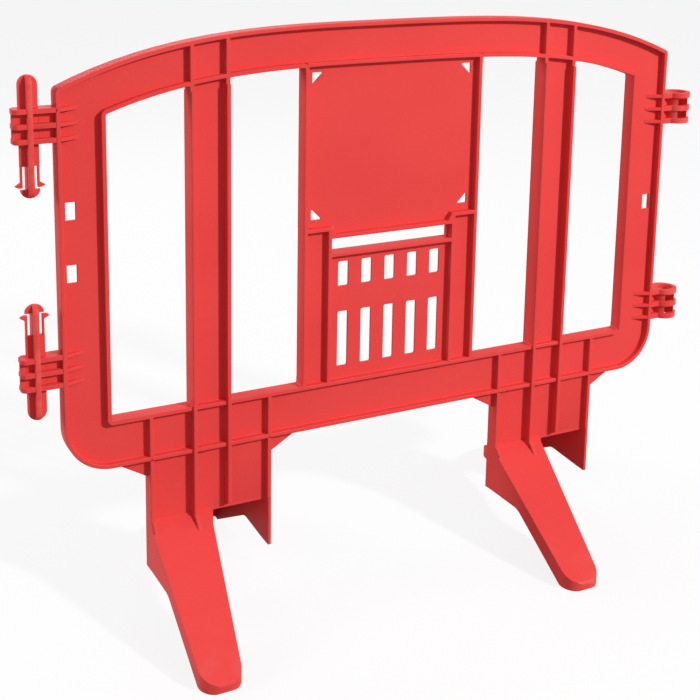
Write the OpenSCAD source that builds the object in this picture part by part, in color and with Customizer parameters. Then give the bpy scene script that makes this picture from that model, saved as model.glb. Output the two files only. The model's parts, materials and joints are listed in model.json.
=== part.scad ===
// Pedestrian barrier panel: a moulded plastic fence panel on four splayed legs, with snap-in link
// pins along one end and link sockets along the other.
// X runs along the panel, Y through its depth with the front at -Y, and Z up.
// The origin lies on the ground below the middle of the panel. Lengths are in millimetres.

/* [Panel] */
// Length of the panel between its end edges
panel_length = 1200; // [1150:10:1400]
// Height of the panel at the middle of its arched top
panel_height = 1000; // [960:5:1100]
// Fall of the arched top from the middle to the ends
arch_drop = 83; // [60:1:100]
// Depth of the rails, the end posts and the centre frame
frame_depth = 28; // [24:1:34]
// Thickness of the flat web between the ribs
web_thickness = 4; // [3:0.5:6]
// Thickness of each stiffening rib
rib_thickness = 7; // [5:0.5:8]
// Radius of the two large lower corners
corner_radius = 80; // [70:1:86]
// Radius of the two upper corners
crown_radius = 10; // [9:1:16]
// Radius of the corners of the four windows
window_radius = 3; // [2:0.5:6]

/* [Rails and posts] */
// Height of the arched top rail
top_rail_height = 71; // [60:1:80]
// Height of the bottom rail's lower edge above the ground
ground_clearance = 278; // [260:1:300]
// Height of the bottom rail
bottom_rail_height = 83; // [75:1:95]
// Width of each end post
end_post_width = 79; // [70:1:90]
// Width of the window between an end post and its mid post
outer_bay_width = 140.5; // [125:0.5:155]
// Width of each mid post
mid_post_width = 69; // [60:1:78]
// Depth of the mid post ribs, which stand proud of the rails
mid_post_depth = 36; // [34:1:44]
// Length of the post stubs that the rails carry
joint_stub = 10; // [10:0.5:11]

/* [Centre frame] */
// Width of the centre frame over its outer ribs
centre_width = 351; // [330:1:370]
// Width of each lower column of the centre frame
column_width = 54; // [48:1:60]
// Height from the bottom rail to the grip bar
grille_height = 230; // [215:1:245]
// Clear height of the hand slot above the grip bar
hand_slot_height = 26.5; // [22:0.5:32]
// Radius of the hand slot's ends
hand_slot_radius = 5; // [3:0.5:7]
// Web left between the hand slot and each column's inner rib
hand_slot_margin = 4; // [2:0.5:6]
// Rise of the column caps over the rib above the hand slot
cap_rise = 14; // [10:0.5:20]
// Run of the sloped end of a column cap, down to the rib above the hand slot
cap_run = 8; // [6:0.5:12]
// Length of each leg of the triangular tie holes in the sign plate
tie_hole_leg = 21; // [16:1:24]
// Radius of the corners of the tie holes
tie_hole_radius = 1.5; // [1:0.1:1.6]
// Distance from the tie holes to the ribs round the sign plate
tie_hole_margin = 11; // [8:1:13]
// Distance from the lower tie holes to the column caps
tie_hole_rise = 13; // [9:1:17]

/* [Grille] */
// Number of slots in each grille row
slots_per_row = 5; // [3:2:5]
// Width of each grille slot
slot_width = 20; // [16:1:22]
// Spacing of the grille slots
slot_pitch = 46.5; // [42:0.5:47]
// Corner radius of the grille slots
slot_radius = 3; // [1:0.5:5]
// Height of the upper row of slots
upper_slot_height = 45; // [35:1:52]
// Distance from the upper row to the grip bar
upper_slot_drop = 13; // [10:1:18]
// Height of the lower row of slots
lower_slot_height = 102; // [90:1:108]
// Distance from the bottom rail to the lower row
lower_slot_rise = 23; // [18:1:27]

/* [Tie slots] */
// Width of the tie slots in the end posts
tie_slot_width = 16; // [12:1:18]
// Height of the tie slots
tie_slot_height = 29; // [22:1:34]
// Distance from the panel's end edge to the middle of the tie slots
tie_slot_inset = 22; // [19:1:26]
// Drop from the ends of the arched top to the upper tie slot
upper_tie_drop = 197; // [185:1:210]
// Drop from the upper tie slot to the lower one
tie_slot_spacing = 103; // [90:1:115]

/* [Feet] */
// Width of each foot block
block_width = 222; // [212:1:232]
// Height at which the foot blocks bend into the legs
leg_root = 165; // [150:1:180]
// Reach of each leg's tip from the middle plane of the panel
leg_reach = 282; // [265:1:300]
// Sideways lean of each leg, from the edge of its foot block to its tip
leg_splay = 9; // [4:1:14]
// Width of each leg at its tip
leg_tip_width = 66; // [56:1:70]
// Radius of the tip, seen from above
leg_tip_radius = 30; // [24:1:32]
// Height of the leg at its tip
leg_tip_height = 15; // [12:1:20]
// Thickness of the leg's side walls
leg_wall = 6; // [4:0.5:7]
// Thickness of the leg's top plate
leg_plate = 6; // [4:0.5:8]
// Height of the walls' lower edge where they start, behind the panel
wall_start = 75; // [66:1:90]
// Height of the walls' lower edge at its knee
knee_height = 79; // [68:1:86]
// Distance of the knee from the middle plane
knee_reach = 100; // [85:1:115]
// Length of the flat sole
sole_length = 36; // [30:1:45]
// Solid length of the leg's nose
nose_length = 22; // [16:1:28]
// Length of the triangular gussets between the bottom rail and the foot blocks
gusset_length = 56; // [40:1:62]
// Height of those gussets
gusset_height = 33; // [24:1:38]

/* [Links] */
// Distance from the panel's end edge to the axis of the link pins and sockets
link_offset = 40; // [38:1:46]
// Reach of the link brackets from the panel's end edge
link_reach = 66; // [64:1:72]
// Drop from the ends of the arched top to the middle of the upper bracket
upper_link_drop = 55; // [53:1:60]
// Rise from the panel's lower edge to the middle of the lower bracket
lower_link_rise = 183; // [181:1:190]
// Height of each link bracket
bracket_height = 55; // [50:1:57]
// Thickness of the three shelves of a bracket
shelf_thickness = 8; // [6:0.5:9]
// Chamfer of the bracket's outer corners
bracket_chamfer = 6; // [3:0.5:8]
// Radius of the link pins, a cross in section
pin_radius = 15.5; // [15:0.1:16]
// Thickness of the pin's blade, which lies in the panel's plane
blade_thickness = 6; // [5:0.5:8]
// Thickness of the pin's stem rib, which crosses the blade
stem_thickness = 8.4; // [7:0.2:8.6]
// Length of the plain end of a pin
plain_length = 52; // [46:1:56]
// Length of the snap end of a pin
snap_length = 87; // [86:1:92]
// Thickness of the three tapering gussets behind each link on its post
link_gusset_thickness = 6; // [4:0.5:8]
// Length of those gussets
link_gusset_length = 36; // [28:1:42]

/* [Snap prongs] */
// Distance from the bracket to the roots of the prongs
prong_start = 36; // [35:0.5:37]
// Length of each prong from its root
prong_length = 34; // [33:0.5:34.5]
// Thickness of each prong
prong_thickness = 3.2; // [2.8:0.1:3.4]
// Radius of the bead at the root of each prong
bead_radius = 2; // [1.8:0.1:2.2]
// Reach of the barbs from the pin's axis
barb_reach = 23; // [21.5:0.5:23.5]
// Length of the barb along its prong
barb_length = 8.5; // [7:0.5:10]
// Length of the nose at the end of the snap end
nose_height = 14; // [12:0.5:15]
// Running clearance round the bead of a prong
prong_clearance = 0.3; // [0.25:0.05:0.5]

/* [Sockets] */
// Radius of the socket's bore
socket_bore = 17; // [16.8:0.1:17.5]
// Outer radius of the socket's tube
socket_radius = 22.5; // [21:0.5:23.5]
// Outer radius of the socket's three flanges
flange_radius = 26; // [24:0.5:27]
// Thickness of each flange
flange_thickness = 10; // [8:0.5:12]
// Height of each socket
socket_height = 60; // [56:0.5:61]
// Width of the two windows in the front of the socket's tube
socket_window = 22; // [16:1:23]
// Gap between a bracket and a socket linked below it
link_gap = 1; // [0.5:0.1:2]

/* [Hidden] */
// Power of the arch's curve
arch_power_share = 3.3;
// Height of the barb's shoulder, as a share of the barb's length
barb_shoulder_share = 0.55;
// Width of the barb's end, as a share of its reach past the prong
barb_end_share = 0.3;
// Run of the leg's rib wedges, as a share of the ribs' half depth
wedge_run_share = 2.2;
// Rise of the free lower end of a post rib, as a share of its reach from the web
rib_end_share = 0.5;
// Height of the end posts' upper seam below the ends of the arch, as a share of the crown radius
seam_drop_share = 2;
// Overrun of every cut past the face that it leaves
overrun = 1;
// Segments of the arched top, of a window's top, of the largest and smallest corner and of a circle
arch_steps = 36;
arc_steps = 8;
corner_steps = 24;
least_steps = 4;
$fn = 64;

half_length = panel_length / 2;
half_depth = frame_depth / 2;
half_post_depth = mid_post_depth / 2;
half_web = web_thickness / 2;
arch_end = panel_height - arch_drop;
rail_top = ground_clearance + bottom_rail_height;
stub_top = rail_top + joint_stub;
bay_end = half_length - end_post_width;
mid_post_offset = bay_end - outer_bay_width - mid_post_width / 2;
post_in = mid_post_offset - mid_post_width / 2;
post_out = mid_post_offset + mid_post_width / 2;
centre_half = centre_width / 2;
plate_half = centre_half - rib_thickness;
end_post_top = arch_end - crown_radius * seam_drop_share;

column_rib = centre_half - column_width;
slot_half = column_rib - hand_slot_margin;
column_edge = slot_half - hand_slot_radius;
bar_bottom = rail_top + grille_height;
bar_top = bar_bottom + rib_thickness;
hand_slot_top = bar_top + hand_slot_height;
plate_rib_top = hand_slot_top + rib_thickness;
cap_top = plate_rib_top + cap_rise;

upper_tie = arch_end - upper_tie_drop;
lower_tie = upper_tie - tie_slot_spacing;
half_block = block_width / 2;
leg_tip_out = -half_block - leg_splay;
leg_tip_in = leg_tip_out + leg_tip_width;
upper_link = arch_end - upper_link_drop;
lower_link = ground_clearance + lower_link_rise;
half_bracket = bracket_height / 2;
shelf_rise = half_bracket - shelf_thickness / 2;
socket_rise = socket_height / 2 - flange_thickness / 2;
upper_socket_z = upper_link - half_bracket - link_gap - socket_height / 2;
lower_socket_z = lower_link - half_bracket - link_gap - socket_height / 2;
pivot_x = pin_radius - bead_radius;
pivot_z = half_bracket + prong_start;

// Clear bays of the panel, from left to right
BAYS = [[-bay_end, -post_out], [-post_in, -centre_half], [centre_half, post_in], [post_out, bay_end]];

// Height of the arched top edge, its slope, and its length for each unit of run
function arch(x) = panel_height - arch_drop * pow(abs(x) / half_length, arch_power_share);
function arch_slope(x) =
    -sign(x) * arch_drop / half_length * arch_power_share
    * pow(abs(x) / half_length, arch_power_share - 1);
function arch_stretch(x) = 1 / cos(atan(arch_slope(x)));

// Height of a line that runs a given distance inside the arched top edge
function below_arch(x, inset) = arch(x) - inset * arch_stretch(x);

// Evenly spaced values from one end to the other
function spread(from, to, steps) = [for (i = [0:steps]) from + (to - from) * i / steps];

function unit(v) = v / norm(v);

// Segments of the arc round a corner, more of them on a larger one
function arc_count(r) = max(least_steps, ceil(corner_steps * sqrt(r / corner_radius)));

// Points of the arc that rounds the corner p between its neighbours a and b
function corner_arc(a, p, b, r) =
    let (u = unit(a - p), v = unit(b - p), half = acos(u * v) / 2)
    let (centre = p + unit(u + v) * r / sin(half))
    let (from = p + u * r / tan(half) - centre, to = p + v * r / tan(half) - centre)
    let (start = atan2(from.y, from.x), turn = atan2(from.x * to.y - from.y * to.x, from * to))
    [for (angle = spread(start, start + turn, arc_count(r))) centre + r * [cos(angle), sin(angle)]];

// Outline whose corners are rounded by the radii given, where 0 leaves a corner sharp
function rounded(points, radii) =
    let (n = len(points))
    [for (i = [0:n - 1]) each radii[i] > 0
        ? corner_arc(points[(i + n - 1) % n], points[i], points[(i + 1) % n], radii[i])
        : [points[i]]];

// Outline with two lower corners and an arched top between two upper corners
function arched(left, right, bottom, inset, steps, low_r, high_r) =
    rounded(
        concat([[left, bottom], [right, bottom]],
               [for (x = spread(right, left, steps)) [x, below_arch(x, inset)]]),
        concat([low_r, low_r, high_r], [for (i = [2:steps]) 0], [high_r]));

function panel_outline(inset) =
    arched(-half_length + inset, half_length - inset, ground_clearance + inset, inset, arch_steps,
           corner_radius - inset, crown_radius - inset);

// Outline of a window, grown by the given distance
function window_outline(bay, grow) =
    arched(bay[0] - grow, bay[1] + grow, rail_top - grow, top_rail_height - grow, arc_steps,
           window_radius + grow, window_radius + grow);

// Stands a flat shape up in the panel's plane and gives it a depth
module upright(depth) {
    rotate([90, 0, 0])
        linear_extrude(depth, center = true)
            children();
}

module box_2d(x0, x1, z0, z1) {
    translate([x0, z0])
        square([x1 - x0, z1 - z0]);
}

module rounded_box_2d(x0, x1, z0, z1, r) {
    polygon(rounded([[x0, z0], [x1, z0], [x1, z1], [x0, z1]], [r, r, r, r]));
}

// Copies what it is given to both ends of the panel
module both_ends() {
    for (side = [0, 1])
        mirror([side, 0])
            children();
}

// Rib round the edge of the whole panel
module rim_2d() {
    difference() {
        polygon(panel_outline(0));
        polygon(panel_outline(rib_thickness));
    }
}

// Ribs round the four windows
module window_frames_2d() {
    for (bay = BAYS)
        difference() {
            polygon(window_outline(bay, rib_thickness));
            polygon(window_outline(bay, 0));
        }
}

// Rib under the top rail, between two ends inside upright ribs
module arch_rib_2d(x0, x1) {
    upper = [for (x = spread(x0, x1, arc_steps)) [x, below_arch(x, top_rail_height - rib_thickness)]];
    lower = [for (x = spread(x1, x0, arc_steps)) [x, below_arch(x, top_rail_height)]];
    polygon(concat(upper, lower));
}

// The two ribs of each mid post, from the ground clearance up through both rails
module post_ribs_2d() {
    intersection() {
        polygon(panel_outline(0));
        both_ends()
            for (x = [post_in, post_out - rib_thickness])
                box_2d(x, x + rib_thickness, ground_clearance, panel_height);
    }
}

// Ribs that carry the edges of the foot blocks up through the bottom rail
module block_ribs_2d() {
    both_ends()
        for (x = [mid_post_offset - half_block, mid_post_offset + half_block - rib_thickness])
            box_2d(x, x + rib_thickness, ground_clearance, rail_top);
}

// Ribs of the top rail that run on across the mid posts and the centre frame
module crossing_ribs_2d() {
    inner = rib_thickness / 2;
    arch_rib_2d(-centre_half + inner, centre_half - inner);
    both_ends()
        arch_rib_2d(post_in + inner, post_out - inner);
}

// Upper rib of the bottom rail
module sill_rib_2d() {
    box_2d(-bay_end, bay_end, rail_top - rib_thickness, rail_top);
}

// Ribs of the centre frame below the sign: columns, caps, their sloped ends and both edges of the slot
module centre_ribs_2d() {
    box_2d(-column_rib, column_rib, bar_bottom, bar_top);
    box_2d(-column_rib, column_rib, hand_slot_top, plate_rib_top);
    both_ends() {
        box_2d(column_rib, column_rib + rib_thickness, rail_top, cap_top);
        box_2d(column_rib, centre_half, cap_top - rib_thickness, cap_top);
        polygon([
            [column_rib, cap_top], [column_rib - cap_run, plate_rib_top],
            [column_rib - cap_run, hand_slot_top], [column_rib, hand_slot_top]
        ]);
    }
}

// Holes in the centre frame's web: hand slot, grille slots and triangular tie holes
module centre_holes_2d() {
    rounded_box_2d(-slot_half, slot_half, bar_top, hand_slot_top, hand_slot_radius);
    upper_slot_top = bar_bottom - upper_slot_drop;
    lower_slot_bottom = rail_top + lower_slot_rise;
    for (i = [0:slots_per_row - 1]) {
        x = (i - (slots_per_row - 1) / 2) * slot_pitch - slot_width / 2;
        rounded_box_2d(x, x + slot_width, upper_slot_top - upper_slot_height, upper_slot_top, slot_radius);
        rounded_box_2d(x, x + slot_width, lower_slot_bottom,
                       lower_slot_bottom + lower_slot_height, slot_radius);
    }
    tie_x = plate_half - tie_hole_margin;
    tie_top = below_arch(plate_half, top_rail_height) - tie_hole_margin;
    tie_bottom = cap_top + tie_hole_rise;
    both_ends() {
        tie_hole_2d(tie_x, tie_top, -tie_hole_leg);
        tie_hole_2d(tie_x, tie_bottom, tie_hole_leg);
    }
}

// Triangular hole in a corner of the sign plate, with its upright leg running up or down
module tie_hole_2d(x, z, rise) {
    polygon(rounded([[x, z], [x - tie_hole_leg, z], [x, z + rise]],
                    [tie_hole_radius, tie_hole_radius, tie_hole_radius]));
}

module tie_slot_2d(x, z) {
    box_2d(x - tie_slot_width / 2, x + tie_slot_width / 2, z - tie_slot_height / 2, z + tie_slot_height / 2);
}

// Flat web of the whole panel with all its holes
module web_2d() {
    tie_x = half_length - tie_slot_inset;
    difference() {
        polygon(panel_outline(0));
        for (bay = BAYS)
            polygon(window_outline(bay, 0));
        centre_holes_2d();
        tie_slot_2d(-tie_x, upper_tie);
        tie_slot_2d(-tie_x, lower_tie);
        tie_slot_2d(tie_x, lower_tie);
    }
}

// Part of the panel's plane that the top rail fills, down to its post stubs
module top_zone_2d() {
    end = half_length + overrun;
    polygon(concat(
        [[end, end_post_top], [bay_end, end_post_top]],
        [for (x = spread(bay_end, -bay_end, arch_steps)) [x, below_arch(x, top_rail_height) - joint_stub]],
        [[-bay_end, end_post_top], [-end, end_post_top]],
        [[-end, panel_height + overrun], [end, panel_height + overrun]]));
}

module bottom_zone_2d() {
    end = half_length + overrun;
    box_2d(-end, end, ground_clearance - overrun, stub_top);
}

// Upright strip between the rails
module bay_zone_2d(x0, x1, bottom) {
    difference() {
        box_2d(x0, x1, bottom, panel_height);
        top_zone_2d();
    }
}

// Web of the panel inside the zone that it is given
module zone_web() {
    upright(web_thickness)
        intersection() {
            web_2d();
            children();
        }
}

module panel_color() {
    color([0.90, 0.27, 0.26])
        children();
}

module link_color() {
    color([0.84, 0.22, 0.21])
        children();
}

module top_rail() {
    panel_color() {
        zone_web()
            top_zone_2d();
        upright(frame_depth)
            intersection() {
                union() {
                    rim_2d();
                    window_frames_2d();
                    crossing_ribs_2d();
                    post_ribs_2d();
                }
                top_zone_2d();
            }
    }
}

module bottom_rail() {
    panel_color() {
        zone_web()
            bottom_zone_2d();
        upright(frame_depth)
            intersection() {
                union() {
                    rim_2d();
                    window_frames_2d();
                    sill_rib_2d();
                    block_ribs_2d();
                    centre_ribs_2d();
                }
                bottom_zone_2d();
            }
        upright(mid_post_depth)
            intersection() {
                post_ribs_2d();
                bottom_zone_2d();
            }
    }
}

// Part of the panel's plane that an end post fills, on the left for side -1 and on the right for side 1
module end_post_zone_2d(side) {
    x0 = side < 0 ? -half_length - overrun : bay_end;
    box_2d(x0, x0 + end_post_width + overrun, stub_top, end_post_top);
}

// Flat web of an end post, with its tie slots, between the post's two ribs
module post_web(side) {
    panel_color()
        upright(web_thickness)
            difference() {
                intersection() {
                    web_2d();
                    end_post_zone_2d(side);
                }
                rim_2d();
                window_frames_2d();
            }
}

module left_post_web() {
    post_web(-1);
}

module right_post_web() {
    post_web(1);
}

// Rib along the outer edge of an end post
module outer_rib(side) {
    panel_color()
        upright(frame_depth)
            intersection() {
                rim_2d();
                end_post_zone_2d(side);
            }
}

module left_outer_rib() {
    outer_rib(-1);
}

module right_outer_rib() {
    outer_rib(1);
}

// Rib along the window beside an end post
module inner_rib(side) {
    panel_color()
        upright(frame_depth)
            intersection() {
                window_frames_2d();
                end_post_zone_2d(side);
            }
}

module left_inner_rib() {
    inner_rib(-1);
}

module right_inner_rib() {
    inner_rib(1);
}

// Tapering gussets on both faces of a post's web, which carry a link's shelves onto it
module link_gussets(side, middles, rise) {
    edge = side * half_length;
    root = edge - side * rib_thickness;
    tip = root - side * link_gusset_length;
    panel_color()
        difference() {
            for (middle = middles, step = [-1, 0, 1])
                translate([0, 0, middle + step * rise - link_gusset_thickness / 2])
                    linear_extrude(link_gusset_thickness)
                        polygon([[edge, -half_depth], [edge, half_depth], [root, half_depth], [tip, 0],
                                 [root, -half_depth]]);
            upright(web_thickness)
                end_post_zone_2d(side);
            upright(frame_depth + overrun * 2)
                rim_2d();
        }
}

module left_link_gussets() {
    link_gussets(-1, [upper_link, lower_link], shelf_rise);
}

module right_link_gussets() {
    link_gussets(1, [upper_socket_z, lower_socket_z], socket_rise);
}

module mid_post(side) {
    x0 = side < 0 ? -post_out : post_in;
    zone_web()
        bay_zone_2d(x0, x0 + mid_post_width, stub_top);
    upright(mid_post_depth)
        intersection() {
            post_ribs_2d();
            bay_zone_2d(x0, x0 + mid_post_width, stub_top);
        }
}

module left_mid_post() {
    panel_color()
        mid_post(-1);
}

module right_mid_post() {
    panel_color()
        mid_post(1);
}

// Zone of the sign plate, which narrows between the columns above the hand slot
module plate_zone_2d() {
    bay_zone_2d(-plate_half, plate_half, cap_top);
    box_2d(-column_edge, column_edge, hand_slot_top, cap_top);
}

module sign_plate() {
    panel_color()
        upright(web_thickness)
            difference() {
                intersection() {
                    web_2d();
                    plate_zone_2d();
                }
                centre_ribs_2d();
            }
}

// Rib above the hand slot, under the sign plate
module hand_slot_rib() {
    panel_color()
        upright(frame_depth)
            intersection() {
                centre_ribs_2d();
                plate_zone_2d();
            }
}

// Outer rib beside the sign plate
module sign_stile(side) {
    x0 = side < 0 ? -centre_half : plate_half;
    upright(frame_depth)
        bay_zone_2d(x0, x0 + rib_thickness, cap_top);
}

module left_sign_stile() {
    panel_color()
        sign_stile(-1);
}

module right_sign_stile() {
    panel_color()
        sign_stile(1);
}

// Lower column of the centre frame, beside the grille and the hand slot
module column(side) {
    x0 = side < 0 ? -centre_half : column_edge;
    x1 = side < 0 ? -column_edge : centre_half;
    zone_web()
        box_2d(x0, x1, stub_top, cap_top);
    upright(frame_depth)
        intersection() {
            union() {
                centre_ribs_2d();
                window_frames_2d();
            }
            box_2d(x0, x1, stub_top, cap_top);
        }
}

module left_column() {
    panel_color()
        column(-1);
}

module right_column() {
    panel_color()
        column(1);
}

module grip_bar() {
    panel_color()
        upright(frame_depth)
            box_2d(-column_edge, column_edge, bar_bottom, bar_top);
}

module grille_panel() {
    panel_color()
        zone_web()
            box_2d(-column_edge, column_edge, stub_top, bar_bottom);
}

// Foot block under a mid post, with the ends of the post's ribs and two gussets to the rail
module foot_block(side) {
    gusset_end = half_block + gusset_length;
    gusset_low = ground_clearance - gusset_height;
    post_half = mid_post_width / 2;
    panel_color()
        translate([side * mid_post_offset, 0, 0]) {
            upright(web_thickness) {
                box_2d(-half_block, half_block, leg_root, ground_clearance);
                both_ends()
                    polygon([[half_block - rib_thickness, ground_clearance], [gusset_end, ground_clearance],
                             [half_block, gusset_low], [half_block - rib_thickness, gusset_low]]);
            }
            upright(frame_depth)
                both_ends()
                    box_2d(half_block - rib_thickness, half_block, leg_root, ground_clearance);
            difference() {
                upright(mid_post_depth)
                    both_ends()
                        box_2d(post_half - rib_thickness, post_half, leg_root, ground_clearance);
                for (turn = [0, 180])
                    rotate([0, 0, turn])
                        leg_side(post_half - rib_thickness - overrun, post_half + overrun)
                            rib_end_2d();
            }
        }
}

// Side view of what is cut off below a post rib where no leg carries it on, so that it runs out on the web
module rib_end_2d() {
    rise = (half_post_depth - half_web) * rib_end_share;
    past = half_post_depth + overrun;
    polygon([[half_web, leg_root], [half_web, leg_root - overrun], [past, leg_root - overrun],
             [past, leg_root + rise], [half_post_depth, leg_root + rise]]);
}

module left_foot_block() {
    foot_block(-1);
}

module right_foot_block() {
    foot_block(1);
}

// Height of the leg's top plate at a distance in front of the panel's middle plane
function plate_height(reach) =
    leg_root - (leg_root - leg_tip_height) * (reach - half_web) / (leg_reach - half_web);

// Stands a side view of the leg, drawn as distance in front and height, across a width
module leg_side(x0, x1) {
    translate([x0, 0, 0])
        rotate([90, 0, -90])
            mirror([0, 0, 1])
                linear_extrude(x1 - x0)
                    children();
}

// Leg seen from above: it starts behind the panel's web, leans aside and narrows to a rounded tip
module leg_plan_2d() {
    polygon(rounded(
        [[-half_block, half_depth], [-half_block, -half_depth], [leg_tip_out, -leg_reach],
         [leg_tip_in, -leg_reach], [0, -half_web], [0, half_web],
         [-half_block + leg_wall, half_web], [-half_block + leg_wall, half_depth]],
        [0, 0, leg_tip_radius, leg_tip_radius, 0, 0, 0, 0]));
}

// Hollow of the leg seen from above, open behind
module leg_hollow_plan_2d() {
    side = leg_wall * norm([leg_tip_in, leg_reach]) / leg_reach;
    end = leg_reach - nose_length;
    lean = leg_splay * (end - half_depth) / (leg_reach - half_depth);
    wall_in = -half_block + leg_wall;
    polygon([[wall_in, half_depth + overrun], [wall_in, -half_depth], [wall_in - lean, -end],
             [leg_tip_in * end / leg_reach - side, -end], [-side, 0], [-side, half_depth + overrun]]);
}

// Side view of the leg's outer form
module leg_profile_2d() {
    knee_radius = knee_height / 2;
    polygon(rounded(
        [[-half_depth, wall_start], [knee_reach, knee_height], [leg_reach - sole_length, 0],
         [leg_reach, 0], [leg_reach, leg_tip_height], [half_web, leg_root], [-half_depth, leg_root]],
        [0, knee_radius, 0, leg_tip_height / 4, leg_tip_height / 2, 0, 0]));
}

// Side view of the leg's hollow, under its top plate
module leg_hollow_2d() {
    end = leg_reach;
    polygon([[-half_depth - overrun, -overrun], [end, -overrun], [end, plate_height(end) - leg_plate],
             [half_web, leg_root - leg_plate], [-half_depth - overrun, leg_root - leg_plate]]);
}

// Lower end of a foot block's rib, which runs out on the leg's top plate
module leg_wedge(x0, depth) {
    run = depth * wedge_run_share;
    seat = leg_plate / 2;
    leg_side(x0, x0 + rib_thickness)
        polygon([[half_web, leg_root - seat], [half_web, leg_root], [depth, leg_root],
                 [run, plate_height(run)], [run, plate_height(run) - seat]]);
}

// Front leg of a foot, beside the middle of its post
module leg() {
    difference() {
        intersection() {
            linear_extrude(leg_root)
                leg_plan_2d();
            leg_side(leg_tip_out - overrun, overrun)
                leg_profile_2d();
        }
        intersection() {
            translate([0, 0, -overrun])
                linear_extrude(leg_root)
                    leg_hollow_plan_2d();
            leg_side(leg_tip_out - overrun, overrun)
                leg_hollow_2d();
        }
    }
    leg_wedge(-half_block, half_depth);
    leg_wedge(-mid_post_width / 2, half_post_depth);
}

// Leg in its place: side -1 or 1 for the foot, turned half a turn for a rear leg
module placed_leg(side, turn) {
    panel_color()
        translate([side * mid_post_offset, 0, 0])
            rotate([0, 0, turn])
                leg();
}

module left_front_leg() {
    placed_leg(-1, 0);
}

module left_rear_leg() {
    placed_leg(-1, 180);
}

module right_front_leg() {
    placed_leg(1, 0);
}

module right_rear_leg() {
    placed_leg(1, 180);
}

// Cross section of the link pin: a blade in the panel's plane and a stem rib through it
module pin_cross_2d() {
    square([pin_radius * 2, blade_thickness], center = true);
    square([stem_thickness, pin_radius * 2], center = true);
}

// Face of the bracket from the panel's edge to two chamfered outer corners
module bracket_face_2d(half) {
    outer = link_offset - link_reach;
    c = bracket_chamfer;
    polygon([[link_offset, -half], [outer + c, -half], [outer, c - half],
             [outer, half - c], [outer + c, half], [link_offset, half]]);
}

// Link bracket on the panel's left edge: a plate and three shelves, cut for the pin
module link_bracket() {
    difference() {
        union() {
            upright(blade_thickness)
                bracket_face_2d(half_bracket);
            for (step = [-1, 0, 1])
                translate([0, 0, step * shelf_rise - shelf_thickness / 2])
                    linear_extrude(shelf_thickness)
                        bracket_face_2d(half_depth);
        }
        translate([0, 0, -bracket_height])
            linear_extrude(bracket_height * 2)
                pin_cross_2d();
    }
}

// Round envelope of the pin's two ends: a dome on the plain end and a flatter one on the nose
module pin_envelope() {
    top = half_bracket + plain_length;
    bottom = half_bracket + snap_length;
    dome_base = top - pin_radius;
    nose_base = nose_height - bottom;
    dome = [for (a = spread(0, 90, arc_steps)) [pin_radius * cos(a), dome_base + pin_radius * sin(a)]];
    nose = [for (a = spread(90, 0, arc_steps)) [pin_radius * cos(a), nose_base - nose_height * sin(a)]];
    rotate_extrude()
        polygon(concat(nose, dome));
}

// Side view of the pin's blade: full width to the prongs' roots, then only its nose
module blade_2d() {
    bottom = half_bracket + snap_length;
    top = half_bracket + plain_length;
    difference() {
        box_2d(-pin_radius, pin_radius, -pivot_z, top);
        both_ends()
            translate([pivot_x, -pivot_z])
                circle(bead_radius + prong_clearance);
    }
    box_2d(-pin_radius, pin_radius, -bottom, nose_height - bottom);
}

// Link pin with its plain end up and its snap end down
module link_pin() {
    bottom = half_bracket + snap_length;
    top = half_bracket + plain_length;
    intersection() {
        pin_envelope();
        union() {
            upright(blade_thickness)
                blade_2d();
            translate([-stem_thickness / 2, -pin_radius, -bottom])
                cube([stem_thickness, pin_radius * 2, bottom + top]);
        }
    }
}

// Snap prong of the pin: a bead at its root, a straight leaf and a barb that points away from the pin
module snap_prong() {
    half = prong_thickness / 2;
    root = -bead_radius / 2;
    shoulder = barb_length * barb_shoulder_share;
    reach = barb_reach - pivot_x;
    translate([pivot_x, 0, -pivot_z]) {
        rotate([90, 0, 0])
            cylinder(h = blade_thickness, r = bead_radius, center = true);
        upright(blade_thickness)
            polygon([[-half, root], [half, root], [half, barb_length - prong_length],
                     [reach, barb_length - shoulder - prong_length],
                     [reach, barb_length - shoulder - half - prong_length],
                     [half + (reach - half) * barb_end_share, -prong_length], [-half, -prong_length]]);
    }
}

// Places a link's piece on the left edge, with its snap end down for the upper link and up for the lower
module upper_place() {
    link_color()
        translate([-half_length - link_offset, 0, upper_link])
            children();
}

module lower_place() {
    link_color()
        translate([-half_length - link_offset, 0, lower_link])
            mirror([0, 0, 1])
                children();
}

module upper_link_bracket() {
    upper_place()
        link_bracket();
}

module lower_link_bracket() {
    lower_place()
        link_bracket();
}

module upper_link_pin() {
    upper_place()
        link_pin();
}

module lower_link_pin() {
    lower_place()
        link_pin();
}

module upper_outer_prong() {
    upper_place()
        mirror([1, 0, 0])
            snap_prong();
}

module upper_inner_prong() {
    upper_place()
        snap_prong();
}

module lower_outer_prong() {
    lower_place()
        mirror([1, 0, 0])
            snap_prong();
}

module lower_inner_prong() {
    lower_place()
        snap_prong();
}

// Link socket on the panel's right edge: a bored tube with three flanges that run to the post, and
// a window through the tube's front between each two flanges
module link_socket(middle) {
    flange_pitch = (socket_height - flange_thickness) / 2;
    link_color()
        translate([half_length + link_offset, 0, middle - socket_height / 2])
            difference() {
                union() {
                    cylinder(h = socket_height, r = socket_radius);
                    translate([-link_offset, -half_web, 0])
                        cube([link_offset, web_thickness, socket_height]);
                    for (step = [0:2])
                        translate([0, 0, step * flange_pitch]) {
                            cylinder(h = flange_thickness, r = flange_radius);
                            translate([-link_offset, -half_depth, 0])
                                cube([link_offset, frame_depth, flange_thickness]);
                        }
                }
                translate([0, 0, -overrun])
                    cylinder(h = socket_height + overrun * 2, r = socket_bore);
                for (step = [0, 1])
                    translate([-socket_window / 2, -flange_radius, step * flange_pitch + flange_thickness])
                        cube([socket_window, flange_radius, flange_pitch - flange_thickness]);
            }
}

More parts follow.
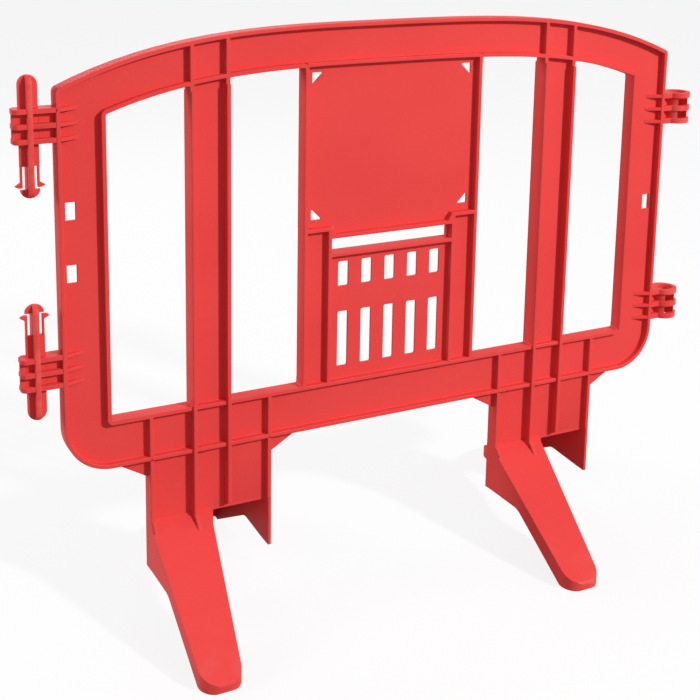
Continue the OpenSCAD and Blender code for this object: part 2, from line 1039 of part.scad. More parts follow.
module upper_socket() {
    link_socket(upper_socket_z);
}

module lower_socket() {
    link_socket(lower_socket_z);
}

top_rail();
bottom_rail();
left_post_web();
left_outer_rib();
left_inner_rib();
left_link_gussets();
right_post_web();
right_outer_rib();
right_inner_rib();
right_link_gussets();
left_mid_post();
right_mid_post();
sign_plate();
left_sign_stile();
right_sign_stile();
left_column();
right_column();
hand_slot_rib();
grip_bar();
grille_panel();
left_foot_block();
right_foot_block();
left_front_leg();
left_rear_leg();
right_front_leg();
right_rear_leg();
upper_link_bracket();
lower_link_bracket();
upper_link_pin();
lower_link_pin();
upper_outer_prong();
upper_inner_prong();
lower_outer_prong();
lower_inner_prong();
upper_socket();
lower_socket();
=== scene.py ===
# %% [markdown]
# A pedestrian barrier panel is one big injection moulding: flat webs stiffened by ribs, hollow splayed
# legs, and links at both ends that join it to its neighbours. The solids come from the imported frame, in
# metres, with X along the panel, -Y at its front and Z up. This lesson gives them the look of moulded
# plastic: rounded edges, a fine grain, soft wear and studio light. Nothing here moves a solid.

# %% Load the fixed frame
import json
import math

import bmesh
import bpy
import numpy as np
from mathutils import Matrix, Vector
from mathutils.bvhtree import BVHTree


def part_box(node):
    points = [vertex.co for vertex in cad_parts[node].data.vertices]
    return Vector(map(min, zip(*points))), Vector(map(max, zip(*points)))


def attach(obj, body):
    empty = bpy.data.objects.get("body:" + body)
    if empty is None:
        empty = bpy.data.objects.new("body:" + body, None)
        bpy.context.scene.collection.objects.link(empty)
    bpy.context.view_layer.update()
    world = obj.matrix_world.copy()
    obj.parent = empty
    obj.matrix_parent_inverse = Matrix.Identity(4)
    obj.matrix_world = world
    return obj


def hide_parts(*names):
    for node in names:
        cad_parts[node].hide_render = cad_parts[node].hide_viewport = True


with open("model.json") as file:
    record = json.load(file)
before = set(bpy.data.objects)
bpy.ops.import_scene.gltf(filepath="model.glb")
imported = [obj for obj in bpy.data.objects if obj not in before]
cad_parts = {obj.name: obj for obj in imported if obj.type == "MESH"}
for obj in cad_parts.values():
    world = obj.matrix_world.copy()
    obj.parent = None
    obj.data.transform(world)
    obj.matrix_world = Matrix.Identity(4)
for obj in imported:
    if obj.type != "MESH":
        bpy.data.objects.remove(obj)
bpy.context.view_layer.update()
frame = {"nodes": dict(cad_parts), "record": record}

MM = 0.001
NODES = sorted(frame["nodes"])
BODY_OF = {node: body for body, nodes in frame["record"]["behaviour"]["bodies"].items() for node in nodes}
SLOT_OF = {part["node"]: part["material_slot"] for part in frame["record"]["subparts"]}
scene = bpy.context.scene

# %% [markdown]
# The camera comes first, so that every later choice can be judged in the picture. A view camera can slide
# its picture down instead of tilting, which keeps uprights nearly parallel, and the photograph looks as if
# it was cropped in the same manner. So this camera has a vertical shift beside its turn, tilt and roll.

# %% Camera at the photograph's angle
IMAGE_SIDE = 700
SENSOR_WIDTH = 36
FOCAL_PIXELS = 1344.5
AXIS_PIXEL_Y = 139.8
CAMERA_PLACE = Vector((-1.1384, -2.0171, 1.2688))
CAMERA_YAW = math.radians(27.616)
CAMERA_PITCH = math.radians(-11.767)
CAMERA_ROLL = math.radians(0.975)


def camera_matrix(place, yaw, pitch, roll):
    """Matrix of a camera that looks along +Y at yaw 0, turned to the right by yaw."""
    ahead = Vector((math.sin(yaw) * math.cos(pitch), math.cos(yaw) * math.cos(pitch), math.sin(pitch)))
    right = Vector((math.cos(yaw), -math.sin(yaw), 0))
    up = right.cross(ahead)
    rolled_right = math.cos(roll) * right + math.sin(roll) * up
    rolled_up = math.cos(roll) * up - math.sin(roll) * right
    turn = Matrix((rolled_right, rolled_up, -ahead)).transposed()
    return Matrix.Translation(place) @ turn.to_4x4()


camera = bpy.data.objects.new("camera", bpy.data.cameras.new("camera"))
scene.collection.objects.link(camera)
camera.data.sensor_width = SENSOR_WIDTH
camera.data.lens = SENSOR_WIDTH * FOCAL_PIXELS / IMAGE_SIDE
camera.data.shift_y = (AXIS_PIXEL_Y - IMAGE_SIDE / 2) / IMAGE_SIDE
camera.data.dof.use_dof = False
camera.matrix_world = camera_matrix(CAMERA_PLACE, CAMERA_YAW, CAMERA_PITCH, CAMERA_ROLL)
scene.camera = camera
print("lens", round(camera.data.lens, 1), "mm, shift", round(camera.data.shift_y, 3))

# %% [markdown]
# A finish is a graph of nodes, and plain arithmetic is tedious to wire by hand. A small class that stands
# for one socket and answers to +, - and * lets a finish be written as a formula. Every other node comes
# from one method, which sets the node's settings first and then its sockets. The same method serves the
# finishes, the world and the trees of Geometry Nodes.

# %% Node graphs
class Value:
    """One socket of a node graph, on which Python's operators work."""

    def __init__(self, graph, socket):
        self.graph = graph
        self.socket = socket

    def math(self, operation, first, second):
        return self.graph.add("ShaderNodeMath", {"operation": operation}, {0: first, 1: second})

    def __add__(self, other):
        return self.math("ADD", self, other)

    def __radd__(self, other):
        return self.math("ADD", other, self)

    def __sub__(self, other):
        return self.math("SUBTRACT", self, other)

    def __rsub__(self, other):
        return self.math("SUBTRACT", other, self)

    def __mul__(self, other):
        return self.math("MULTIPLY", self, other)

    def __rmul__(self, other):
        return self.math("MULTIPLY", other, self)


class Graph:
    """The empty node tree of a material, a world or a geometry, which fills up call by call."""

    def __init__(self, tree):
        self.tree = tree
        tree.nodes.clear()

    def add(self, kind, settings=None, sockets=None, output=0):
        """Adds a node and returns one of its outputs. A list of values joins one socket."""
        node = self.tree.nodes.new(kind)
        for key, value in (settings or {}).items():
            setattr(node, key, value)
        for key, value in (sockets or {}).items():
            for item in value if isinstance(value, list) else [value]:
                if isinstance(item, Value):
                    self.tree.links.new(item.socket, node.inputs[key])
                else:
                    node.inputs[key].default_value = item
        return Value(self, node.outputs[output]) if node.outputs else None


def finish_graph(name):
    """A new material and its empty graph."""
    material = bpy.data.materials.new(name)
    material.use_nodes = True
    return material, Graph(material.node_tree)


print("node graphs ready")

# %% [markdown]
# The panel is polyethylene, coloured through in red. The mould's skin is lightly grained, so its shine is
# wide and weak. The pigment clouds a little along the flow, handled edges turn paler, and the lower legs
# pick up a trace of dust. Each of these is a weak mask, and together they take away the look of flat
# paint. The masks read object coordinates, so that members which meet share one pattern across the seam.

# %% Moulded plastic
def linear(red, green, blue):
    """Scene colour of a screen colour given as three numbers up to 255."""
    def one(level):
        share = level / 255
        return share / 12.92 if share <= 0.04045 else ((share + 0.055) / 1.055) ** 2.4
    return (one(red), one(green), one(blue), 1)


PANEL_RED = linear(226, 72, 70)
DEEP_RED = linear(217, 64, 62)
PALE_RED = linear(240, 112, 106)
DUST = linear(196, 130, 118)
SHINE = 0.05
PANEL_DULLNESS = 0.46
LINK_DULLNESS = 0.42
DUST_HEIGHT = 90 * MM
# Share of each mask in the colour, in the roughness and in the relief
CLOUD_TINT, SPECK_TINT, WEAR_TINT, DUST_TINT = 0.5, 0.06, 0.35, 0.12
CLOUD_DULL, SCUFF_DULL, DUST_DULL, WEAR_POLISH = 0.08, 0.09, 0.12, 0.05
COARSE_RELIEF, SCUFF_RELIEF = 0.5, 0.25
GRAIN_PER_METRE = 620
COARSE_PER_METRE = GRAIN_PER_METRE * 0.31
GRAIN_STRENGTH = 0.14
GRAIN_DEPTH = 0.5 * MM
# Blotches to the metre, detail, stretch, and the levels of the noise between which a mask rises
MASKS = {
    "cloud": (5.0, 3.0, (0.5, 1, 1), 0.35, 0.7),
    "speck": (160.0, 1.0, (1, 1, 1), 0.62, 0.74),
    "wear": (34.0, 3.0, (1, 1, 1), 0.40, 0.66),
    "dust": (22.0, 4.0, (1, 1, 1), 0.42, 0.72),
    "scuff": (26.0, 2.0, (1, 1, 9), 0.66, 0.72),
}


def noise(g, per_metre, detail=2.0, stretch=(1, 1, 1)):
    """Smooth noise between 0 and 1 with so many blotches to the metre, stretched along each axis."""
    place = g.add("ShaderNodeTexCoord", output="Object")
    place = g.add("ShaderNodeMapping", None, {"Vector": place, "Scale": stretch})
    return g.add("ShaderNodeTexNoise", None, {"Vector": place, "Scale": per_metre, "Detail": detail})


def between(g, value, low, high):
    """0 where value is under low, 1 where it is over high, and smooth between them."""
    settings = {"interpolation_type": "SMOOTHSTEP"}
    return g.add("ShaderNodeMapRange", settings, {"Value": value, "From Min": low, "From Max": high})


def mixed(g, share, first, second):
    """Colour that goes from first to second as share goes from 0 to 1."""
    return g.add("ShaderNodeMix", {"data_type": "RGBA"}, {0: share, 6: first, 7: second}, 2)


def mask(g, name):
    """One of the weak masks that break up the plastic's colour and shine."""
    per_metre, detail, stretch, low, high = MASKS[name]
    return between(g, noise(g, per_metre, detail, stretch), low, high)


def moulded_plastic(name, dullness):
    """Grained plastic that is coloured through, with clouded pigment, worn edges and dusty feet."""
    material, g = finish_graph(name)
    cloud = mask(g, "cloud")
    scuff = mask(g, "scuff")
    edge = g.add("ShaderNodeAttribute", {"attribute_name": "edge_wear"}, output="Fac")
    worn = edge * mask(g, "wear")
    place = g.add("ShaderNodeTexCoord", output="Object")
    height = g.add("ShaderNodeSeparateXYZ", None, {0: place}, output="Z")
    dusty = between(g, height, DUST_HEIGHT, 0.0) * mask(g, "dust")
    colour = mixed(g, cloud * CLOUD_TINT, PANEL_RED, DEEP_RED)
    colour = mixed(g, mask(g, "speck") * SPECK_TINT, colour, PALE_RED)
    colour = mixed(g, worn * WEAR_TINT, colour, PALE_RED)
    colour = mixed(g, dusty * DUST_TINT, colour, DUST)
    rough = dullness + CLOUD_DULL * cloud + SCUFF_DULL * scuff + DUST_DULL * dusty - WEAR_POLISH * worn
    coarse = noise(g, COARSE_PER_METRE, 1.0)
    relief = noise(g, GRAIN_PER_METRE) + COARSE_RELIEF * coarse - SCUFF_RELIEF * scuff
    normal = g.add("ShaderNodeBump", None,
                   {"Strength": GRAIN_STRENGTH, "Distance": GRAIN_DEPTH, "Height": relief})
    shader = g.add("ShaderNodeBsdfPrincipled", None, {
        "Base Color": colour, "Roughness": rough, "Normal": normal, "IOR": 1.5, "Specular IOR Level": SHINE})
    g.add("ShaderNodeOutputMaterial", None, {"Surface": shader})
    return material


FINISH_OF = {
    "panel_plastic": moulded_plastic("panel_plastic", PANEL_DULLNESS),
    "link_plastic": moulded_plastic("link_plastic", LINK_DULLNESS),
}
print("finishes:", ", ".join(FINISH_OF))

# %% [markdown]
# Two members follow a plain rule, so Geometry Nodes make them. The first is the grille under the hand slot:
# a flat plate with two rows of slots. The tree draws one slot for each row, sets copies of it along a line,
# fills the outline round them and gives the sheet its thickness. The number, spacing and size of the slots
# are named inputs, as on a drawing, and the mould's maker would change the grille through the same numbers.

# %% Grille of slots
GRILLE_BOX = [Vector(corner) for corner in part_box("grille_panel")]
GRILLE_SIZE = GRILLE_BOX[1] - GRILLE_BOX[0]
GRILLE_MIDDLE = (GRILLE_BOX[0] + GRILLE_BOX[1]) / 2
GRILLE = {"Width": GRILLE_SIZE.x, "Height": GRILLE_SIZE.z, "Thickness": GRILLE_SIZE.y, "Columns": 5,
          "Pitch": 46.5 * MM, "Slot Width": 20 * MM, "Corner": 3 * MM,
          "Upper Height": 45 * MM, "Upper Rise": 74.5 * MM, "Lower Height": 102 * MM, "Lower Rise": -46 * MM}
CORNER_STEPS = 4
TOUCHING = 0.001 * MM


def geometry_tree(name, sizes):
    """A new Geometry Nodes tree with a named input for each size, and its graph."""
    tree = bpy.data.node_groups.new(name, "GeometryNodeTree")
    tree.interface.new_socket("Geometry", in_out="INPUT", socket_type="NodeSocketGeometry")
    for label, size in sizes.items():
        kind = "NodeSocketInt" if isinstance(size, int) else "NodeSocketFloat"
        tree.interface.new_socket(label, in_out="INPUT", socket_type=kind)
    tree.interface.new_socket("Material", in_out="INPUT", socket_type="NodeSocketMaterial")
    tree.interface.new_socket("Geometry", in_out="OUTPUT", socket_type="NodeSocketGeometry")
    return tree, Graph(tree)


def given(g, label):
    """One named input of a tree."""
    return g.add("NodeGroupInput", output=label)


def end_tree(g, geometry):
    """Ends a tree: plain mesh, one finish."""
    plain = g.add("GeometryNodeRealizeInstances", None, {"Geometry": geometry})
    coloured = g.add("GeometryNodeSetMaterial", None, {"Geometry": plain, "Material": given(g, "Material")})
    g.add("NodeGroupOutput", None, {"Geometry": coloured})


def thickened(g, outline, thickness):
    """Closed plate of the thickness given, over a flat outline with holes."""
    sheet = g.add("GeometryNodeFillCurve", {"mode": "NGONS"}, {"Curve": outline})
    raised = g.add("GeometryNodeExtrudeMesh", {"mode": "FACES"},
                   {"Mesh": sheet, "Offset Scale": thickness, "Individual": False})
    under = g.add("GeometryNodeFlipFaces", None, {"Mesh": sheet})
    both = g.add("GeometryNodeJoinGeometry", None, {"Geometry": [raised, under]})
    return g.add("GeometryNodeMergeByDistance", None, {"Geometry": both, "Distance": TOUCHING})


def slot_row(g, height, rise):
    """Outlines of one row of slots, as wide apart as the pitch."""
    slot = g.add("GeometryNodeCurvePrimitiveQuadrilateral", None,
                 {"Width": given(g, "Slot Width"), "Height": given(g, height)})
    slot = g.add("GeometryNodeFilletCurve", {"mode": "POLY"},
                 {"Curve": slot, "Count": CORNER_STEPS, "Radius": given(g, "Corner")})
    pitch = given(g, "Pitch")
    first = (given(g, "Columns") - 1) * pitch * -0.5
    start = g.add("ShaderNodeCombineXYZ", None, {"X": first, "Y": given(g, rise)})
    step = g.add("ShaderNodeCombineXYZ", None, {"X": pitch})
    line = g.add("GeometryNodeMeshLine", {"mode": "OFFSET"},
                 {"Count": given(g, "Columns"), "Start Location": start, "Offset": step})
    row = g.add("GeometryNodeInstanceOnPoints", None, {"Points": line, "Instance": slot})
    return g.add("GeometryNodeRealizeInstances", None, {"Geometry": row})


def grille_tree():
    """Tree of the slotted plate, which stands in the panel's plane."""
    tree, g = geometry_tree("slotted_plate", GRILLE)
    edge = g.add("GeometryNodeCurvePrimitiveQuadrilateral", None,
                 {"Width": given(g, "Width"), "Height": given(g, "Height")})
    outline = g.add("GeometryNodeJoinGeometry", None, {"Geometry": [
        edge, slot_row(g, "Upper Height", "Upper Rise"), slot_row(g, "Lower Height", "Lower Rise")]})
    plate = thickened(g, outline, given(g, "Thickness"))
    depth = given(g, "Thickness") * 0.5
    place = g.add("ShaderNodeCombineXYZ", None, {"X": GRILLE_MIDDLE.x, "Y": depth, "Z": GRILLE_MIDDLE.z})
    upright = g.add("GeometryNodeTransform", None,
                    {"Geometry": plate, "Translation": place, "Rotation": (math.pi / 2, 0, 0)})
    end_tree(g, upright)
    return tree


def grown(name, start, tree, sizes, finish):
    """Plain mesh of what a tree makes from a starting mesh, with its inputs set by name."""
    maker = bpy.data.objects.new(name, start)
    scene.collection.objects.link(maker)
    modifier = maker.modifiers.new(name, "NODES")
    modifier.node_group = tree
    for item in tree.interface.items_tree:
        if item.in_out == "INPUT" and item.name in sizes:
            modifier[item.identifier] = sizes[item.name]
        elif item.in_out == "INPUT" and item.name == "Material":
            modifier[item.identifier] = finish
    made = bpy.data.meshes.new_from_object(maker.evaluated_get(bpy.context.evaluated_depsgraph_get()))
    bpy.data.objects.remove(maker)
    return made


GROWN = {"grille_panel": grown("grille", bpy.data.meshes.new("grille"), grille_tree(), GRILLE,
                               FINISH_OF["panel_plastic"])}
print("grille of", 2 * GRILLE["Columns"], "slots,", len(GROWN["grille_panel"].polygons), "faces")

# %% [markdown]
# The second is the set of gussets behind the links. Each shelf of a link runs on across the end post as a
# thin wedge on both faces of its web, and carries the pull of the next panel into it. One wedge is drawn
# in the tree, and a copy stands at each point of a small mesh, turned by an attribute of that point. A
# half turn about one axis or another serves for every side, so no copy is mirrored inside out.

# %% Wedges behind the links
SHELF_RISE = 23.5 * MM
FLANGE_RISE = 25 * MM
POST_EDGE = 593 * MM
WEB_HALF = 2 * MM
LEFT_LINKS = [862 * MM, 461 * MM]
RIGHT_LINKS = [803.5 * MM, 402.5 * MM]
WEDGE = {"Depth": 12 * MM, "Length": 30.857 * MM, "Tip": 0.6 * MM, "Thickness": 6 * MM}


def wedge_tree():
    """Tree that sets one wedge at each point of a mesh, turned by the point's attribute."""
    tree, g = geometry_tree("wedge_row", WEDGE)
    far = g.add("ShaderNodeCombineXYZ", None, {"X": given(g, "Length")})
    tip = g.add("ShaderNodeCombineXYZ", None, {"X": given(g, "Length"), "Y": given(g, "Tip")})
    root = g.add("ShaderNodeCombineXYZ", None, {"Y": given(g, "Depth")})
    outline = g.add("GeometryNodeCurvePrimitiveQuadrilateral", {"mode": "POINTS"},
                    {"Point 1": (0, 0, 0), "Point 2": far, "Point 3": tip, "Point 4": root})
    wedge = thickened(g, outline, given(g, "Thickness"))
    lower = g.add("ShaderNodeCombineXYZ", None, {"Z": given(g, "Thickness") * -0.5})
    wedge = g.add("GeometryNodeTransform", None, {"Geometry": wedge, "Translation": lower})
    turn = g.add("GeometryNodeInputNamedAttribute", {"data_type": "FLOAT_VECTOR"}, {"Name": "turn"})
    turn = g.add("FunctionNodeEulerToRotation", None, {"Euler": turn})
    row = g.add("GeometryNodeInstanceOnPoints", None,
                {"Points": given(g, "Geometry"), "Instance": wedge, "Rotation": turn})
    end_tree(g, row)
    return tree


def wedge_points(name, side, links, rise):
    """Mesh of the points where an end post's wedges stand, front and back, with their turns."""
    places, turns = [], []
    for face, turn in ((-1, (math.pi, 0, 0) if side < 0 else (0, 0, math.pi)),
                       (1, (0, 0, 0) if side < 0 else (0, math.pi, 0))):
        for link in links:
            for step in (-1, 0, 1):
                places.append((side * POST_EDGE, face * WEB_HALF, link + step * rise))
                turns.extend(turn)
    mesh = bpy.data.meshes.new(name)
    mesh.from_pydata(places, [], [])
    mesh.attributes.new("turn", "FLOAT_VECTOR", "POINT").data.foreach_set("vector", turns)
    return mesh


WEDGES = wedge_tree()
for name, side, links, rise in (("left_link_gussets", -1, LEFT_LINKS, SHELF_RISE),
                                ("right_link_gussets", 1, RIGHT_LINKS, FLANGE_RISE)):
    GROWN[name] = grown(name, wedge_points(name, side, links, rise), WEDGES, WEDGE, FINISH_OF["panel_plastic"])
    print(name, len(GROWN[name].polygons), "faces")

# %% [markdown]
# A moulding has no sharp edges: its ribs end in small rounds and its corners run into small fillets. The
# solids have sharp edges, so each will get a rounded copy. The members of the panel are one moulding, and
# an edge on a seam between two of them has to stay as it is, or the seam would show as a groove. So the
# solids' triangles are joined into flat faces first, and an edge is split where a neighbour's corner lies
# on it: each edge is then either on a seam or free along its whole length.

# %% Merged solids and their seams
WELD = 0.002 * MM
LEG_WELD = 0.3 * MM
FLAT = math.radians(0.2)
SHARP = math.radians(28)
SEAM = 0.05 * MM
SHARE_DIGITS = 4


def is_leg(node):
    """True if a solid is one of the four legs."""
    return node.endswith("leg")


def merged(node):
    """Copy of a solid's mesh, or of the mesh grown for it, with its triangles joined into flat faces."""
    mesh = bmesh.new()
    mesh.from_mesh(GROWN[node] if node in GROWN else frame["nodes"][node].data)
    bmesh.ops.remove_doubles(mesh, verts=mesh.verts, dist=LEG_WELD if is_leg(node) else WELD)
    bmesh.ops.dissolve_limit(mesh, angle_limit=FLAT, verts=mesh.verts, edges=mesh.edges)
    return mesh


def boxes_touch(first, second):
    """True if two boxes, each a low and a high corner, meet."""
    return all(first[0][i] <= second[1][i] + SEAM and second[0][i] <= first[1][i] + SEAM for i in range(3))


def neighbours_of(node):
    """Solids of the same body that touch a solid's box."""
    return [other for other in NODES
            if other != node and BODY_OF[other] == BODY_OF[node] and boxes_touch(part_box(node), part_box(other))]


def split_at(mesh, points):
    """Splits each sharp edge of a mesh where one of the points lies on it."""
    for edge in [e for e in mesh.edges if e.calc_face_angle(0) > SHARP]:
        start, end = edge.verts
        origin = np.array(start.co)
        along = np.array(end.co) - origin
        length = np.linalg.norm(along)
        share = (points - origin) @ along / length**2
        miss = np.linalg.norm(points - origin - np.outer(share, along), axis=1)
        inside = (miss < SEAM) & (share * length > SEAM) & ((1 - share) * length > SEAM)
        done = 0.0
        for place in np.unique(share[inside].round(SHARE_DIGITS)):
            _, start = bmesh.utils.edge_split(edge, start, (place - done) / (1 - done))
            edge = mesh.edges.get((start, end))
            done = place


MERGED = {node: merged(node) for node in NODES}
TREES = {node: BVHTree.FromBMesh(mesh) for node, mesh in MERGED.items()}
for node in NODES:
    corners = [vert.co for other in neighbours_of(node) for vert in MERGED[other].verts]
    if corners:
        split_at(MERGED[node], np.array(corners))
print(len(MERGED), "merged solids with", sum(len(mesh.edges) for mesh in MERGED.values()), "edges")

# %% [markdown]
# A round can't be larger than the faces beside it, or it runs over their far edges. Blender's bevel can see
# to that, but it shrinks every round of a piece to suit the tightest spot. So each edge's own room is worked
# out here, from the widths of its faces and the lengths of the edges it meets. Edges that run on nearly
# straight share the smallest room among them, because a round that changed its size there would leave a
# step. The outcome is a weight for each edge, as a share of the round that its piece may have at most.

# %% Free edges and the room for their rounds
PANEL_ROUND = 1.3 * MM
LINK_ROUND = 0.7 * MM
PRONG_ROUND = 0.4 * MM
LEG_ROUND = 3 * MM
# Shares of that round in a hollow and on the lower edges of a leg, whose top stays bare close to its post
HOLLOW_SHARE = 0.7
LEG_LOWER_SHARE = 0.3
LEG_BARE_REACH = 45 * MM
UPWARD = 0.6
# Shares of a face's width and of an edge's length that a round may take
THIN_SHARE = 0.42
END_SHARE = 0.45
NEARLY_STRAIGHT = math.radians(150)


def round_of(node):
    """Largest round on a solid: it is large on the legs, small on the links and smaller on their prongs."""
    if node.endswith("prong"):
        return PRONG_ROUND
    if is_leg(node):
        return LEG_ROUND
    return LINK_ROUND if SLOT_OF[node] == "link_plastic" else PANEL_ROUND


def share_of_round(node, edge):
    """Share of a solid's round that an edge gets: less in a hollow, and on a leg all of it on top alone."""
    hollow = edge.calc_face_angle_signed() < 0
    if not is_leg(node):
        return HOLLOW_SHARE if hollow else 1.0
    if hollow or not any(face.normal.z > UPWARD for face in edge.link_faces):
        return LEG_LOWER_SHARE
    return 1.0 if abs(edge.verts[0].co.y + edge.verts[1].co.y) / 2 > LEG_BARE_REACH else 0.0


def corners_of(edge):
    """The corners of an edge's faces at its two ends, each with the edge that it leads to."""
    for loop in edge.link_loops:
        after = loop.link_loop_next
        yield loop, loop.link_loop_prev.edge
        yield after, after.edge


def room_for_round(edge, free):
    """Largest round that fits on an edge, by the widths of its faces and the lengths of the edges it meets."""
    room = min(THIN_SHARE * 2 * face.calc_area() / face.calc_perimeter() for face in edge.link_faces)
    for corner, beside in corners_of(edge):
        turn = corner.calc_angle()
        reach = END_SHARE * beside.calc_length()
        if beside not in free:
            room = min(room, reach if turn > NEARLY_STRAIGHT else reach * math.sin(turn))
        elif corner.is_convex:
            room = min(room, reach * math.tan(turn / 2))
    return room


def goes_on(edge, free):
    """The free edges that carry an edge on, nearly straight, across the ends of its two faces."""
    return {beside for corner, beside in corners_of(edge)
            if beside in free and corner.calc_angle() > NEARLY_STRAIGHT}


def chains_of(free):
    """The free edges in groups that run on from one to the next, so that each group has one round."""
    left = set(free)
    while left:
        chain, ends = [], [left.pop()]
        while ends:
            edge = ends.pop()
            chain.append(edge)
            more = goes_on(edge, free) & left
            left -= more
            ends.extend(more)
        yield chain


def mark_free_edges(node):
    """Gives each sharp edge that no neighbour touches a bevel weight, and keeps the seams sharp."""
    mesh = MERGED[node]
    weight = mesh.edges.layers.float.new("bevel_weight_edge")
    near = neighbours_of(node)
    free = set()
    for edge in mesh.edges:
        if edge.calc_face_angle(0) < SHARP:
            continue
        middle = (edge.verts[0].co + edge.verts[1].co) / 2
        if any(TREES[other].find_nearest(middle, SEAM)[0] for other in near):
            edge.smooth = False
        elif share_of_round(node, edge) > 0:
            free.add(edge)
    for chain in chains_of(free):
        share = min(min(share_of_round(node, edge), room_for_round(edge, free) / round_of(node))
                    for edge in chain)
        for edge in chain:
            edge[weight] = share
    return len(free)


FREE = {node: mark_free_edges(node) for node in NODES}
print(sum(FREE.values()), "free edges")

# %% [markdown]
# The rounds themselves are Blender's bevel, which reads each edge's weight. Two strips to a round are
# enough at this size, because weighted normals keep the flats flat and let the light roll over the strips.
# A point where only narrow strips meet is marked as worn, and the finish turns a little paler there. Each
# copy then takes the place of its solid, in the same body and with the same finish.

# %% Rounded copies of the solids
ROUND_STRIPS = 2
WEAR_WIDTH = 2.2 * MM


def mark_wear(mesh):
    """Marks each point 1 if only the narrow strips of a round meet there, and 0 if it touches a flat."""
    widest = [0.0] * len(mesh.vertices)
    for face in mesh.polygons:
        ring = [mesh.vertices[index].co for index in face.vertices]
        length = sum((ring[i] - ring[i - 1]).length for i in range(len(ring))) / 2
        for index in face.vertices:
            widest[index] = max(widest[index], face.area / length)
    wear = mesh.attributes.new("edge_wear", "FLOAT", "POINT")
    wear.data.foreach_set("value", [1.0 if width < WEAR_WIDTH else 0.0 for width in widest])


def rounded_copy(node):
    """A piece that stands for a solid, with its free edges rounded."""
    for face in MERGED[node].faces:
        face.smooth = True
    data = bpy.data.meshes.new(node)
    MERGED[node].to_mesh(data)
    piece = bpy.data.objects.new(node + "_moulding", data)
    scene.collection.objects.link(piece)
    bevel = piece.modifiers.new("rounds", "BEVEL")
    bevel.limit_method = "WEIGHT"
    bevel.width = round_of(node)
    bevel.segments = ROUND_STRIPS
    bevel.use_clamp_overlap = False
    bevel.loop_slide = True
    normals = piece.modifiers.new("normals", "WEIGHTED_NORMAL")
    normals.keep_sharp = True
    finished = bpy.data.meshes.new_from_object(piece.evaluated_get(bpy.context.evaluated_depsgraph_get()))
    piece.modifiers.clear()
    piece.data = finished
    mark_wear(finished)
    finished.materials.clear()
    finished.materials.append(FINISH_OF[SLOT_OF[node]])
    return piece


for node in NODES:
    piece = rounded_copy(node)
    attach(piece, BODY_OF[node])
    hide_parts(node)
    print(node, "rounds on", FREE[node], "edges,", len(piece.data.polygons), "faces")

# %% [markdown]
# A product picture has a pale floor and a white surround. The floor shows nearly white to the camera and
# keeps a soft shadow under the feet, but it throws little light back, so that the hollows of the legs stay
# dark. The world is white to the camera as well, and to everything else it is plain, even light at a lower
# level, because white from all sides would wash out the shapes of the ribs.

# %% Floor and white surround
FLOOR_HALF = 12.0
FLOOR_WHITE_SHARE = 0.84
FLOOR_SHADE = 0.86
FLOOR_BOUNCE = 0.28
WORLD_LEVEL = 0.46


def seen_rays(g):
    """1 for the rays of the camera and of mirror images, 0 for those that carry light."""
    seen = g.add("ShaderNodeLightPath", output="Is Camera Ray")
    for kind in ("Is Glossy Ray", "Is Transmission Ray"):
        seen = seen + g.add("ShaderNodeLightPath", output=kind)
    return seen


def plain_floor(g, level):
    """Matt grey of a level."""
    return g.add("ShaderNodeBsdfDiffuse", None, {"Color": (level, level, level, 1)})


def pale_floor():
    """Floor that is nearly white to the camera and throws back little light."""
    material, g = finish_graph("floor")
    white = g.add("ShaderNodeEmission", None, {"Color": (1, 1, 1, 1), "Strength": 1.0})
    bounced = g.add("ShaderNodeLightPath", output="Is Diffuse Ray")
    plain = g.add("ShaderNodeMixShader", None,
                  {0: bounced, 1: plain_floor(g, FLOOR_SHADE), 2: plain_floor(g, FLOOR_BOUNCE)})
    shader = g.add("ShaderNodeMixShader", None, {0: seen_rays(g) * FLOOR_WHITE_SHARE, 1: plain, 2: white})
    g.add("ShaderNodeOutputMaterial", None, {"Surface": shader})
    return material


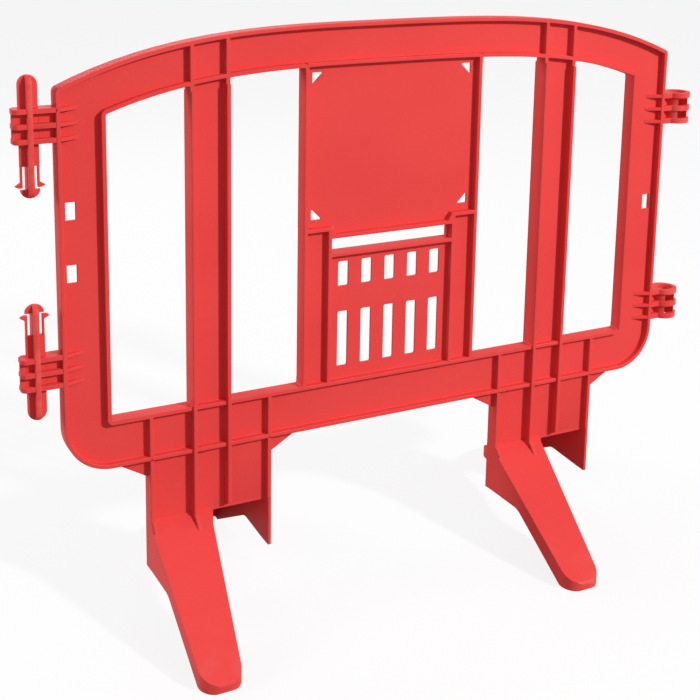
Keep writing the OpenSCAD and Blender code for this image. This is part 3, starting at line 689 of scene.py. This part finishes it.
def make_floor():
    """A wide square on the ground that isn't part of the object."""
    corners = [(-FLOOR_HALF, -FLOOR_HALF, 0), (FLOOR_HALF, -FLOOR_HALF, 0),
               (FLOOR_HALF, FLOOR_HALF, 0), (-FLOOR_HALF, FLOOR_HALF, 0)]
    data = bpy.data.meshes.new("floor")
    data.from_pydata(corners, [], [(0, 1, 2, 3)])
    data.materials.append(pale_floor())
    floor = bpy.data.objects.new("floor", data)
    scene.collection.objects.link(floor)


def white_world():
    """World that is white to the camera and in reflections, and plain grey light to all else."""
    world = bpy.data.worlds.new("studio")
    world.use_nodes = True
    scene.world = world
    g = Graph(world.node_tree)
    white = g.add("ShaderNodeBackground", None, {"Color": (1, 1, 1, 1), "Strength": 1.0})
    grey = g.add("ShaderNodeBackground", None, {"Color": (1, 1, 1, 1), "Strength": WORLD_LEVEL})
    shader = g.add("ShaderNodeMixShader", None, {0: seen_rays(g), 1: grey, 2: white})
    g.add("ShaderNodeOutputWorld", None, {"Surface": shader})


make_floor()
white_world()
print("floor and world")

# %% [markdown]
# Three square lamps do the rest, as in a small studio. The key lamp stands in front and to the right, and
# it is small and far away, so that it models the ribs and draws their narrow shadows on the webs. A weak
# lamp at the left lights the side walls of the posts, and a weaker one behind lifts the edges there. Their
# levels together show the plastic about as its colour was written.

# %% Lamps
PANEL_MIDDLE = Vector((0, 0, 0.6))
# Name, place, side in metres and watts
LAMPS = [
    ("key", (3.4, -5.6, 4.2), 0.5, 482),
    ("side", (-5.0, 1.4, 2.2), 1.6, 115),
    ("back", (0.5, 3.4, 2.6), 2.0, 30),
]


def soft_lamp(name, place, side, watts):
    """Square lamp that faces the middle of the panel."""
    data = bpy.data.lights.new(name, "AREA")
    data.shape = "SQUARE"
    data.size = side
    data.energy = watts
    lamp = bpy.data.objects.new(name, data)
    lamp.location = place
    lamp.rotation_euler = (PANEL_MIDDLE - Vector(place)).to_track_quat("-Z", "Y").to_euler()
    scene.collection.objects.link(lamp)


for name, place, side, watts in LAMPS:
    soft_lamp(name, place, side, watts)
scene.view_settings.view_transform = "Standard"
print(len(LAMPS), "lamps")
